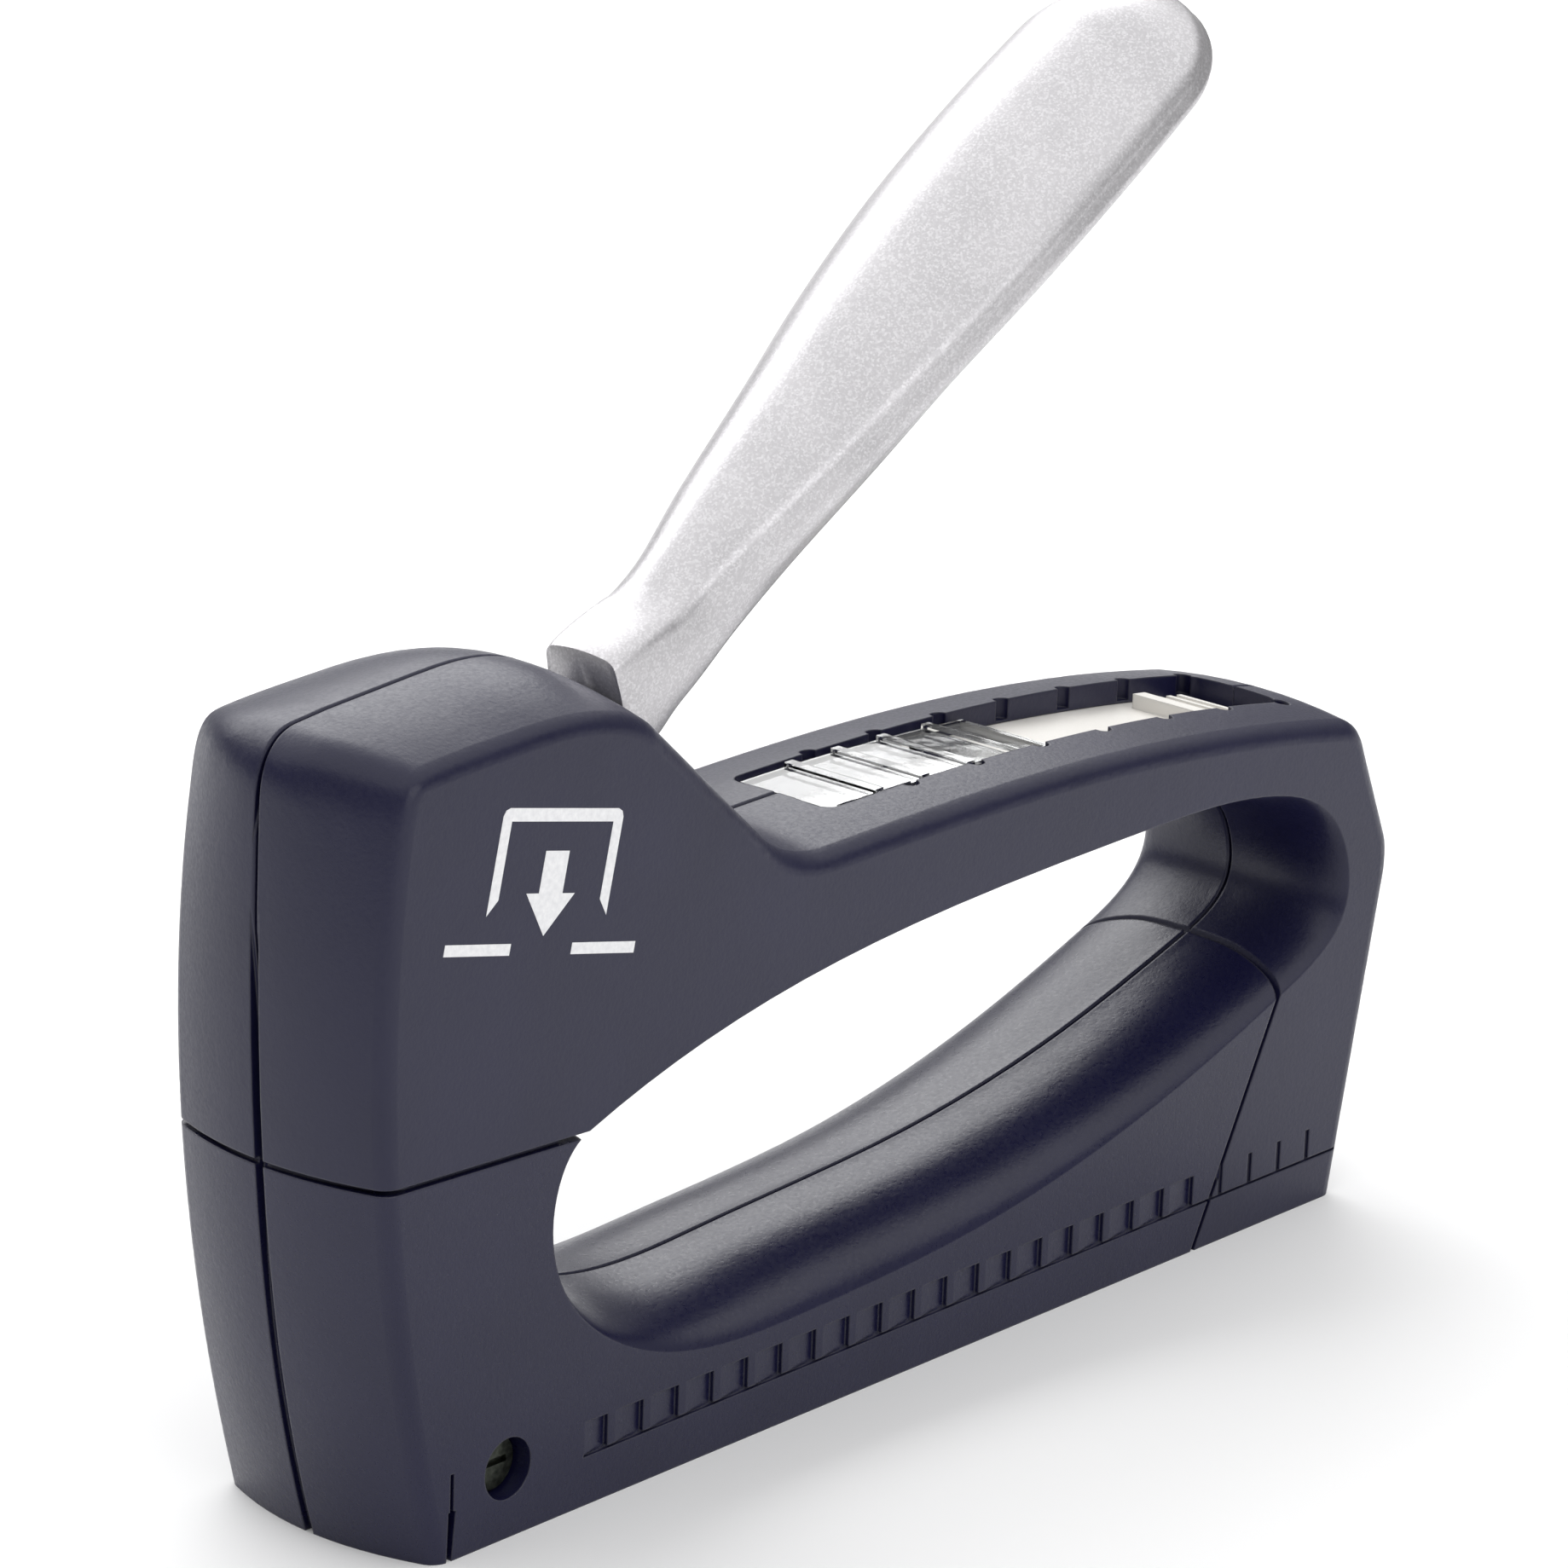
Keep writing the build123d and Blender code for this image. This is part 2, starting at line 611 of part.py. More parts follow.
# ---- striker ------------------------------------------------------------------------
def make_striker():
    """Steel frame, hammer, driver blade, main spring and the pieces around them."""
    guide_inner = HAMMER_HALF_WIDTH + 0.3
    rear_x = DRIVER_X + 6.0
    front_x = DRIVER_X - 6.2
    side_outline = [
        (front_x, SHELF_Z),
        (front_x, FRAME_TOP_Z - 1.9),
        (front_x + 1.9, FRAME_TOP_Z),
        (rear_x, FRAME_TOP_Z),
        (rear_x, FRAME_FOOT_Z),
        (DRIVER_X - 0.2, FRAME_FOOT_Z),
        (DRIVER_X - 0.2, SHELF_Z),
    ]
    plate = side_prism(side_outline, 0.45, guide_inner + 0.45)
    wall_z = (SHELF_Z, FRAME_TOP_Z - 1.9)
    wall = block((front_x, front_x + 0.9), (-guide_inner, guide_inner), wall_z)
    shelf = block((front_x + 0.9, rear_x), (-guide_inner, guide_inner), (SHELF_Z, SHELF_Z + 1))
    blade_x = (DRIVER_X - 0.7, DRIVER_X + 0.7)
    shelf -= block(blade_x, (-5.3, 5.3), (SHELF_Z - 1, SHELF_Z + 2))
    frame = plate + mirrored(plate) + wall + shelf

    hammer_x = (DRIVER_X - 5.0, DRIVER_X + 5.0)
    hammer_y = (-HAMMER_HALF_WIDTH, HAMMER_HALF_WIDTH)
    hammer = block(hammer_x, hammer_y, (HAMMER_FOOT_Z, HAMMER_TOP_Z))
    boss_radius = SPRING_RADIUS - SPRING_WIRE / 2 - 0.5
    hammer += Pos(DRIVER_X, 0, HAMMER_TOP_Z + 1.5) * Cylinder(boss_radius, 3)
    tip_z = PIVOT_Z - ARM_RADIUS * sin(radians(ARM_REST_ANGLE))
    hammer -= block((-90, -40), (-2.0, 2.0), (tip_z - TIP_RADIUS - 0.3, tip_z + TIP_RADIUS + 0.3))
    seat = DRIVER_THICKNESS / 2 + 0.05
    ear_top = HAMMER_TOP_Z - 1.0
    hammer -= block(
        (DRIVER_X - seat, DRIVER_X + seat),
        (-DRIVER_HALF_WIDTH - 0.05, DRIVER_HALF_WIDTH + 0.05),
        (HAMMER_FOOT_Z - 1, ear_top + 0.1),
    )
    rivets = []
    for y in (-3.6, 3.6):
        rivets.append(rod_x(y, HAMMER_FOOT_Z + 4.0, 1.0, (DRIVER_X - 4.6, DRIVER_X + 4.6)))
        hammer -= rivets[-1]

    blade = block(
        (DRIVER_X - DRIVER_THICKNESS / 2, DRIVER_X + DRIVER_THICKNESS / 2),
        (-DRIVER_HALF_WIDTH, DRIVER_HALF_WIDTH),
        (BLADE_TIP_Z, ear_top),
    )
    blade -= block((-90, -40), (-2.4, 2.4), (HAMMER_FOOT_Z + 0.9, 80))
    for rivet in rivets:
        blade -= rivet

    low_z = HAMMER_TOP_Z + SPRING_WIRE / 2
    spring_height = SPRING_SEAT_Z - HAMMER_TOP_Z - SPRING_WIRE
    path = Pos(DRIVER_X, 0, low_z) * Helix(spring_height / SPRING_TURNS, spring_height, SPRING_RADIUS)
    start = Plane(origin=path @ 0, z_dir=path % 0)
    spring = sweep(start * Circle(SPRING_WIRE / 2), path=path)
    span = block((-90, -40), (-20, 20), (HAMMER_TOP_Z, SPRING_SEAT_Z))
    spring = spring & span

    seat_x = (front_x + 1.3, rear_x)
    cap = block(seat_x, (-guide_inner, guide_inner), (SPRING_SEAT_Z, FRAME_TOP_Z))
    cap += Pos(DRIVER_X, 0, SPRING_SEAT_Z - 1.5) * Cylinder(boss_radius, 3)

    bumper = block((DRIVER_X - 5, DRIVER_X + 5), (-6, 6), (SHELF_Z + 1, HAMMER_FOOT_Z - 0.3))
    bumper -= block(blade_x, (-5.4, 5.4), (SHELF_Z, HAMMER_FOOT_Z))

    nose_x = DRIVER_X - DRIVER_THICKNESS / 2 - 0.1
    nose_plate = block((nose_x - 1.0, nose_x), (-6.3, 6.3), (0.3, SHELF_Z))
    guide_x = DRIVER_X + DRIVER_THICKNESS / 2 + 0.15
    guide = block((guide_x, rear_x), (-guide_inner, guide_inner), (FRAME_FOOT_Z, SHELF_Z))
    return {
        "core_frame": frame,
        "hammer": hammer,
        "driver_blade": blade,
        "hammer_rivets": Compound(rivets),
        "main_spring": spring,
        "spring_cap": cap,
        "bumper": bumper,
        "nose_plate": nose_plate,
        "driver_guide": guide,
    }


# ---- lever --------------------------------------------------------------------------
# Each row is one cross-section: x and z of its lower edge at the middle, the lever's
# direction there in degrees, half width, side height and the rise of the crowned top.
LEVER_STATIONS = (
    (-22.6, 75.2, 40.0, 4.6, 8.6, 0.5),
    (-12.8, 83.2, 38.5, 5.5, 7.8, 0.9),
    (-2.3, 91.7, 37.0, 6.9, 7.4, 1.5),
    (8.8, 100.3, 35.5, 8.7, 7.2, 2.0),
    (18.6, 107.2, 34.0, 9.8, 7.1, 2.3),
    (29.6, 114.5, 33.0, 10.3, 7.0, 2.4),
)
LEVER_TIP_START = (41.0, 121.5)
LEVER_TIP_ANGLE = 33.0
LEVER_TIP_LENGTH = 11.2
LEVER_TIP_STEPS = (0.0, 28.0, 48.0, 64.0, 76.0)
LEVER_NECK_HALF_WIDTH = 4.3
LEVER_NECK = (
    (-35.0, 80.0),
    (-29.0, 82.4),
    (-25.6, 85.3),
    (-15.0, 88.5),
    (-15.0, 81.3),
    (-19.4, 77.8),
    (-28.4, 70.2),
    (-31.6, 67.7),
    (-33.4, 72.5),
)


def lever_section(x, z, angle, half_width, height, rise, corner=1.7):
    """Cross-section of the lever: flat underside, straight sides and a crowned top."""
    turn = radians(angle)
    plane = Plane(origin=(x, 0, z), x_dir=(0, 1, 0), z_dir=(cos(turn), 0, sin(turn)))
    corner = min(corner, height * 0.4, half_width * 0.4)
    foot = 0.6 * corner
    lean = 0.02 * height
    w = half_width
    shoulder = w - lean - corner
    side = [
        Line((-w + foot, 0), (w - foot, 0)),
        ThreePointArc((w - foot, 0), (w - foot * 0.29, foot * 0.29), (w, foot)),
        Line((w, foot), (w - lean, height - corner)),
        ThreePointArc(
            (w - lean, height - corner),
            (w - lean - corner * 0.27, height - corner * 0.27),
            (shoulder, height + corner * 0.06),
        ),
        ThreePointArc(
            (shoulder, height + corner * 0.06),
            (0, height + rise),
            (-shoulder, height + corner * 0.06),
        ),
        ThreePointArc(
            (-shoulder, height + corner * 0.06),
            (-w + lean + corner * 0.27, height - corner * 0.27),
            (-w + lean, height - corner),
        ),
        Line((-w + lean, height - corner), (-w, foot)),
        ThreePointArc((-w, foot), (-w + foot * 0.29, foot * 0.29), (-w + foot, 0)),
    ]
    return plane * make_face(side)


def lever_blank():
    """Solid outside shape of the lever's grip, from the neck to the rounded tip."""
    sections = [lever_section(*row) for row in LEVER_STATIONS]
    turn = radians(LEVER_TIP_ANGLE)
    _, _, _, half_width, height, rise = LEVER_STATIONS[-1]
    for step in LEVER_TIP_STEPS:
        reach = LEVER_TIP_LENGTH * sin(radians(step))
        spread = cos(radians(step))
        lift = 2.6 * (1 - spread)
        x = LEVER_TIP_START[0] + reach * cos(turn) - lift * sin(turn)
        z = LEVER_TIP_START[1] + reach * sin(turn) + lift * cos(turn)
        row_height = height * (0.15 + 0.85 * spread)
        sections.append(
            lever_section(x, z, LEVER_TIP_ANGLE, half_width * spread, row_height, rise * spread**2)
        )
    return loft(sections)


def lever_pocket():
    """Hollow in the lever's underside."""
    sections = []
    for x, z, angle, half_width, height, _ in LEVER_STATIONS[1:]:
        turn = radians(angle)
        plane = Plane(origin=(x, 0, z), x_dir=(0, 1, 0), z_dir=(cos(turn), 0, sin(turn)))
        depth = height - 2.2
        pocket = Pos(0, depth / 2 - 1.0) * Rectangle(2 * (half_width - 2.0), depth + 2.0)
        sections.append(plane * pocket)
    return loft(sections)


def make_lever():
    """Lever grip, its steel arm, the pivot pin and the pieces on them."""
    neck = side_prism(LEVER_NECK, LEVER_NECK_HALF_WIDTH)
    neck_edges = neck.edges().filter_by(Axis.Y)
    neck = fillet([e for e in neck_edges if e.center().X < -28.5 and e.center().Z > 79], 0.9)
    grip = lever_blank() + neck
    grip -= lever_pocket()

    drop = radians(ARM_REST_ANGLE)
    tip_x = PIVOT_X - ARM_RADIUS * cos(drop)
    tip_z = PIVOT_Z - ARM_RADIUS * sin(drop)
    blade_outline = [
        (tip_x, tip_z + FINGER_HALF_HEIGHT),
        (tip_x, tip_z - FINGER_HALF_HEIGHT),
        (tip_x + 5.5, tip_z - FINGER_HALF_HEIGHT + 1.7),
        (PIVOT_X - 2.0, PIVOT_Z - 5.6),
        (PIVOT_X + 4.2, PIVOT_Z - 4.2),
        (-29.6, 70.8),
        (-19.0, 79.9),
        (-4.0, 92.0),
        (-7.0, 95.6),
        (-22.5, 83.6),
        (-32.6, 74.6),
        (PIVOT_X - 2.4, PIVOT_Z + 5.4),
        (tip_x + 5.5, tip_z + FINGER_HALF_HEIGHT + 1.2),
    ]
    arm = side_prism(blade_outline, ARM_THICKNESS / 2)
    arm_y = (-ARM_THICKNESS / 2, ARM_THICKNESS / 2)
    arm += rod_y(PIVOT_X, PIVOT_Z, 6.0, arm_y)
    arm += rod_y(tip_x, tip_z, TIP_RADIUS, arm_y)
    grip -= side_prism(blade_outline, ARM_THICKNESS / 2)
    arm -= rod_y(PIVOT_X, PIVOT_Z, BUSH_RADIUS, (-5, 5))
    dowels = [rod_y(x, z, 1.2, (-3.2, 3.2)) for x, z in ((-27.4, 75.6), (-20.2, 81.6))]
    for dowel in dowels:
        grip -= dowel
        arm -= dowel

    bush = rod_y(PIVOT_X, PIVOT_Z, BUSH_RADIUS, arm_y)
    flange_y = (ARM_THICKNESS / 2, BUSH_HALF_LENGTH)
    flange = rod_y(PIVOT_X, PIVOT_Z, PIVOT_BOSS_RADIUS - 0.6, flange_y)
    bush = bush + flange + mirrored(flange)
    bush -= rod_y(PIVOT_X, PIVOT_Z, PIN_RADIUS + 0.04, (-5, 5))
    pin = rod_y(PIVOT_X, PIVOT_Z, PIN_RADIUS, (-PIN_HALF_LENGTH, PIN_HALF_LENGTH))
    return {
        "lever_grip": grip,
        "lever_arm": arm,
        "lever_dowels": Compound(dowels),
        "pivot_bush": bush,
        "pivot_pin": pin,
    }


# ---- magazine -----------------------------------------------------------------------
def make_staples(x_range, foot_z, leg):
    """Strip of staples glued side by side, with a shallow nick between neighbours."""
    low, high = x_range
    outer = STAPLE_HALF_CROWN
    inner = outer - STAPLE_WIRE
    strip = block(x_range, (-outer, outer), (foot_z, foot_z + leg))
    strip -= block((low - 1, high + 1), (-inner, inner), (foot_z - 1, foot_z + leg - STAPLE_WIRE))
    return strip


def make_magazine():
    """Channel, rail, staples and the pull-out follower unit along the foot."""
    gauge = CHANNEL_GAUGE
    outer = CHANNEL_HALF_WIDTH
    inner = outer - gauge
    span = (CHANNEL_FRONT_X, CHANNEL_REAR_X)
    long_span = (CHANNEL_FRONT_X - 1, CHANNEL_REAR_X + 1)
    channel = block(span, (-outer, outer), (CHANNEL_FOOT_Z, CHANNEL_TOP_Z))
    channel -= block(long_span, (-inner, inner), (CHANNEL_FOOT_Z + gauge, CHANNEL_TOP_Z + 1))

    rail_foot = CHANNEL_FOOT_Z + gauge
    rail = block(span, (-RAIL_HALF_WIDTH, RAIL_HALF_WIDTH), (rail_foot, RAIL_TOP_Z))
    hollow = RAIL_HALF_WIDTH - RAIL_GAUGE
    rail -= block(long_span, (-hollow, hollow), (rail_foot - 1, RAIL_TOP_Z - RAIL_GAUGE))

    strip_rear_x = STRIP_FRONT_X + STRIP_LENGTH
    strip_foot = RAIL_TOP_Z + 0.05 + STAPLE_WIRE - STAPLE_LEG
    strip = make_staples((STRIP_FRONT_X, strip_rear_x), strip_foot, STAPLE_LEG)

    follower_x = (strip_rear_x + FOLLOWER_GAP, strip_rear_x + FOLLOWER_GAP + FOLLOWER_LENGTH)
    saddle = RAIL_HALF_WIDTH + 0.2
    follower = block(follower_x, (-inner + 0.3, inner - 0.3), (strip_foot, CHANNEL_TOP_Z - 0.6))
    follower -= block((-90, 90), (-saddle, saddle), (-1, RAIL_TOP_Z + 0.2))
    follower -= rod_x(0, ROD_Z, ROD_RADIUS + 0.08, (-90, 90))

    rod = rod_x(0, ROD_Z, ROD_RADIUS, (ROD_FRONT_X, CAP_FRONT_X + 4))
    clip = rod_x(0, ROD_Z, ROD_RADIUS + 0.7, (ROD_FRONT_X + 0.6, ROD_FRONT_X + 1.4))
    rod -= clip - rod_x(0, ROD_Z, ROD_RADIUS - 0.3, (-90, 90))
    clip -= rod_x(0, ROD_Z, ROD_RADIUS - 0.3, (-90, 90))
    clip -= block((-90, 90), (-0.7, 0.7), (ROD_Z - 5, ROD_Z))

    feed_front = follower_x[1] + FEED_WIRE / 2 + 0.05
    feed_length = CAP_FRONT_X - FEED_WIRE / 2 - 0.05 - feed_front
    path = Helix(FEED_PITCH, feed_length, FEED_RADIUS)
    feed = sweep(Plane(origin=path @ 0, z_dir=path % 0) * Circle(FEED_WIRE / 2), path=path)
    feed = Pos(feed_front, 0, ROD_Z) * Rot(0, 90, 0) * feed

    plug_half = MAGAZINE_HALF_WIDTH - 0.15
    ceiling = MAGAZINE_CEILING_Z - 0.2
    cap = block((CAP_FRONT_X, CAP_REAR_X), (-plug_half, plug_half), (CHANNEL_FOOT_Z, ceiling))
    cap -= rod_x(0, ROD_Z, ROD_RADIUS, (-90, CAP_FRONT_X + 4))
    cap -= block((CAP_REAR_X - 2.2, 90), (-3.6, 3.6), (2.6, 6.4))
    leaf_z = (ceiling - 0.7, ceiling - 0.1)
    leaf = block((CAP_FRONT_X + 1.5, CAP_REAR_X), (-1.8, 1.8), leaf_z)
    leaf += block((CAP_REAR_X - 0.6, CAP_REAR_X), (-1.8, 1.8), (ceiling - 3.4, ceiling - 0.1))
    cap -= block((CAP_FRONT_X + 1.5, 90), (-1.8, 1.8), (ceiling - 0.7, 90))
    cap -= block((CAP_REAR_X - 0.6, 90), (-1.8, 1.8), (ceiling - 3.4, 90))
    return {
        "magazine_channel": channel,
        "staple_rail": rail,
        "staple_strip": strip,
        "follower": follower,
        "guide_rod": rod,
        "rod_clip": clip,
        "feed_spring": feed,
        "magazine_cap": cap,
        "cap_leaf": leaf,
    }


# ---- storage slot in the handle -----------------------------------------------------
def make_storage():
    """Clear window, sliding lid and the spare staples under them."""
    front = SLOT_FRONT_X + 0.1
    reach = TRACK_HALF_WIDTH - 0.1
    window = track_solid(WINDOW_TOP, WINDOW_FLOOR, reach, (front, WINDOW_REAR_X))
    crown = track_solid(WINDOW_TOP - 0.6, WINDOW_TOP, SLOT_HALF_WIDTH - 0.9, (front + 1, WINDOW_REAR_X))
    window += crown
    for index in range(4):
        x = 1.5 + 7.0 * index
        rib = track_solid(WINDOW_TOP - 1.0, WINDOW_TOP, SLOT_HALF_WIDTH - 0.6, (x, x + 1.2))
        window += rib

    lid_x = (LID_FRONT_X, LID_REAR_X)
    lid = track_solid(LID_TOP, LID_FLOOR, reach, lid_x)
    stop_x = (LID_REAR_X - 9.5, LID_REAR_X - 7.5)
    lid += track_solid(LID_TOP - 1.6, LID_TOP, 4.6, stop_x)
    for index in range(3):
        x = LID_REAR_X - 5.8 + 1.8 * index
        lid += track_solid(LID_TOP - 1.0, LID_TOP, 4.4, (x, x + 0.8))

    store_floor = STORE_OUTLINE[0][1]
    spare_x = (STORE_OUTLINE[0][0] + 1.5, STORE_OUTLINE[0][0] + 1.5 + SPARE_LENGTH)
    spare = make_staples(spare_x, store_floor, 5.3)
    return {"storage_window": window, "storage_lid": lid, "spare_staples": spare}


def main():
    """Write one STEP file for each piece."""
    os.makedirs("parts", exist_ok=True)
    pieces = {}
    for make in (make_housing, make_screws, make_striker, make_lever, make_magazine, make_storage):
        pieces.update(make())
    for name, shape in pieces.items():
        export_step(Pos(DRAWING_ZERO_X, 0, 0) * shape, f"parts/{name}.step")


main()
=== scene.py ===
import json
from math import atan, cos, pi, radians, sin

import bmesh
import bpy
from mathutils import Matrix, Vector


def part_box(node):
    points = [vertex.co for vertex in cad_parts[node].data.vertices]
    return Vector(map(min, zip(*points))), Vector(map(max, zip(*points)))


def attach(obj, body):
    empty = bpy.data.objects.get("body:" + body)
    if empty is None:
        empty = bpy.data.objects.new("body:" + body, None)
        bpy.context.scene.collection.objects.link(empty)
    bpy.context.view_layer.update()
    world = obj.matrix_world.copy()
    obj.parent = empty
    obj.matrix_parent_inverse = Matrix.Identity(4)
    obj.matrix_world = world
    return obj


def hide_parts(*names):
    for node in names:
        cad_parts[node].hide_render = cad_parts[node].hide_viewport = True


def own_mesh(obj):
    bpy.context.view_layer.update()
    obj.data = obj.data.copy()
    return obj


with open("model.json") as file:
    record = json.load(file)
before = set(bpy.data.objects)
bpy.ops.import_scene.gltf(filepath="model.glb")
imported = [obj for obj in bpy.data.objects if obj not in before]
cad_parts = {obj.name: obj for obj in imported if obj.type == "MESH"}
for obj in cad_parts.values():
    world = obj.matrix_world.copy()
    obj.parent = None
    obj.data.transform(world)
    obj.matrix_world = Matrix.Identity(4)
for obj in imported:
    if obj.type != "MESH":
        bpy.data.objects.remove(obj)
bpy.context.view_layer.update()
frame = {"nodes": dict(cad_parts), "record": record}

# ---- camera, light and floor ----------------------------------------------------------
CAMERA_PLACE = (-0.4678, -0.4009, 0.2563)
CAMERA_HEADING = 49.04
CAMERA_DIP = 17.81
CAMERA_ROLL = 2.02
CAMERA_LENS = 150.3
SENSOR = 36.0
SURROUND = 0.27
# name, place, target, width and height, power in watts
LAMPS = (
    ("overhead", (0.2, 0.3, 1.7), (0.2, 0.3, 0.0), (5.0, 5.0), 84.0),
    ("back_panel", (0.42, 1.08, 0.86), (0.0, 0.0, 0.06), (1.8, 0.9), 13.0),
    ("ridge_strip", (-0.05, -1.15, 0.42), (0.0, 0.0, 0.09), (0.9, 0.5), 2.8),
)


def add_camera():
    """Camera at a heading from +Y, dipped towards the floor and rolled a little."""
    a, p, t = radians(CAMERA_HEADING), radians(CAMERA_DIP), radians(CAMERA_ROLL)
    ahead = Vector((sin(a) * cos(p), cos(a) * cos(p), -sin(p)))
    right = Vector((cos(a), -sin(a), 0.0))
    up = right.cross(ahead)
    turned_right = right * cos(t) + up * sin(t)
    turned_up = up * cos(t) - right * sin(t)
    turn = Matrix((turned_right, turned_up, -ahead)).transposed().to_4x4()
    data = bpy.data.cameras.new("camera")
    data.lens = CAMERA_LENS
    data.sensor_width = SENSOR
    data.clip_start = 0.01
    camera = bpy.data.objects.new("camera", data)
    camera.matrix_world = Matrix.Translation(CAMERA_PLACE) @ turn
    bpy.context.scene.collection.objects.link(camera)
    bpy.context.scene.camera = camera


def add_lamp(name, place, target, size, power):
    """Soft rectangular lamp that points at a target."""
    data = bpy.data.lights.new(name, "AREA")
    data.shape = "RECTANGLE"
    data.size, data.size_y = size
    data.energy = power
    lamp = bpy.data.objects.new(name, data)
    direction = Vector(target) - Vector(place)
    lamp.rotation_euler = direction.to_track_quat("-Z", "Y").to_euler()
    lamp.location = place
    bpy.context.scene.collection.objects.link(lamp)


def add_floor(reach=4.0):
    mesh = bpy.data.meshes.new("floor")
    corners = [(-reach, -reach, 0), (reach, -reach, 0), (reach, reach, 0), (-reach, reach, 0)]
    mesh.from_pydata(corners, [], [(0, 1, 2, 3)])
    floor = bpy.data.objects.new("floor", mesh)
    bpy.context.scene.collection.objects.link(floor)
    floor.data.materials.append(floor_material())


def add_world(strength):
    world = bpy.data.worlds.new("world")
    world.use_nodes = True
    back = world.node_tree.nodes["Background"]
    back.inputs["Color"].default_value = (1.0, 1.0, 1.0, 1)
    back.inputs["Strength"].default_value = strength
    bpy.context.scene.world = world


# ---- material helpers -----------------------------------------------------------------
def new_material(name):
    material = bpy.data.materials.new(name)
    material.use_nodes = True
    tree = material.node_tree
    place = tree.nodes.new("ShaderNodeTexCoord").outputs["Object"]
    return material, tree, tree.nodes["Principled BSDF"], place


def noise(tree, place, scale, detail=2.0, roughness=0.5, stretch=(1, 1, 1)):
    """Noise with a number of waves to the metre, finer along any stretched axis."""
    mapping = tree.nodes.new("ShaderNodeMapping")
    mapping.inputs["Scale"].default_value = stretch
    tree.links.new(place, mapping.inputs["Vector"])
    node = tree.nodes.new("ShaderNodeTexNoise")
    node.inputs["Scale"].default_value = scale
    node.inputs["Detail"].default_value = detail
    node.inputs["Roughness"].default_value = roughness
    tree.links.new(mapping.outputs["Vector"], node.inputs["Vector"])
    return node.outputs["Fac"]


def remap(tree, value, low, high, out_low, out_high):
    node = tree.nodes.new("ShaderNodeMapRange")
    node.inputs["From Min"].default_value = low
    node.inputs["From Max"].default_value = high
    node.inputs["To Min"].default_value = out_low
    node.inputs["To Max"].default_value = out_high
    tree.links.new(value, node.inputs["Value"])
    return node.outputs["Result"]


def ramp(tree, value, stops):
    node = tree.nodes.new("ShaderNodeValToRGB")
    elements = node.color_ramp.elements
    while len(elements) < len(stops):
        elements.new(0.5)
    for element, (at, color) in zip(elements, stops):
        element.position = at
        element.color = (*color, 1)
    tree.links.new(value, node.inputs["Fac"])
    return node.outputs["Color"]


def bump(tree, shader, value, strength, height, normal=None):
    node = tree.nodes.new("ShaderNodeBump")
    if normal:
        tree.links.new(normal, node.inputs["Normal"])
    node.inputs["Strength"].default_value = strength
    node.inputs["Distance"].default_value = height
    tree.links.new(value, node.inputs["Height"])
    tree.links.new(node.outputs["Normal"], shader.inputs["Normal"])


def sum_values(tree, first, second, share):
    """first + second x share."""
    node = tree.nodes.new("ShaderNodeMath")
    node.operation = "MULTIPLY_ADD"
    tree.links.new(second, node.inputs[0])
    node.inputs[1].default_value = share
    tree.links.new(first, node.inputs[2])
    return node.outputs["Value"]


def rounded_normal(tree, radius):
    """Normal that runs softly over sharp edges."""
    node = tree.nodes.new("ShaderNodeBevel")
    node.samples = 6
    node.inputs["Radius"].default_value = radius
    return node.outputs["Normal"]


def edge_wear_and_highlight(tree, normal):
    """0 on flat surfaces, up to 1 on edges, where the softened normal leaves the true one; it
    lightens the edges as wear and as a painted edge highlight.
    """
    geometry = tree.nodes.new("ShaderNodeNewGeometry")
    dot = tree.nodes.new("ShaderNodeVectorMath")
    dot.operation = "DOT_PRODUCT"
    tree.links.new(normal, dot.inputs[0])
    tree.links.new(geometry.outputs["Normal"], dot.inputs[1])
    return remap(tree, dot.outputs["Value"], 0.99, 0.80, 0.0, 1.0)


def blend_colors(tree, amount, first, second):
    """Linked color first, turning into the plain color second."""
    node = tree.nodes.new("ShaderNodeMix")
    node.data_type = "RGBA"
    tree.links.new(amount, node.inputs["Factor"])
    tree.links.new(first, node.inputs["A"])
    node.inputs["B"].default_value = (*second, 1)
    return node.outputs["Result"]


# ---- materials ------------------------------------------------------------------------
EDGE_SOFTNESS = 0.0003
# Waves to the metre in each grain.
SPARK_GRAIN = 2400.0
METAL_GRAIN = 1500.0
FLAKE_GRAIN = 5200.0


def floor_material():
    material, tree, shader, place = new_material("studio_floor")
    tone = noise(tree, place, 3.0)
    color = ramp(tree, tone, [(0.3, (0.90, 0.90, 0.90)), (0.7, (0.93, 0.93, 0.93))])
    tree.links.new(color, shader.inputs["Base Color"])
    shader.inputs["Roughness"].default_value = 0.9
    return material


def moulded_plastic(name, dark, light, rough, grain, wear_and_highlight_edge_color):
    """Satin moulded plastic: fine spark-eroded grain, uneven tone, and edges lightened for wear
    and as a painted edge highlight.
    """
    material, tree, shader, place = new_material(name)
    tone = noise(tree, place, 70.0, 3.0)
    color = ramp(tree, tone, [(0.3, dark), (0.7, light)])
    soft = rounded_normal(tree, EDGE_SOFTNESS)
    # Lightens the edges: wear, and a painted highlight along them.
    if wear_and_highlight_edge_color:
        color = blend_colors(tree, edge_wear_and_highlight(tree, soft), color, wear_and_highlight_edge_color)
    tree.links.new(color, shader.inputs["Base Color"])
    fine = noise(tree, place, SPARK_GRAIN, 2.0, 0.6)
    coarse = noise(tree, place, SPARK_GRAIN * 0.4, 1.0)
    uneven = remap(tree, fine, 0.3, 0.7, rough - 0.05, rough + 0.06)
    tree.links.new(uneven, shader.inputs["Roughness"])
    bump(tree, shader, sum_values(tree, fine, coarse, 0.7), grain, 0.00006, soft)
    shader.inputs["Specular IOR Level"].default_value = 0.42
    return material


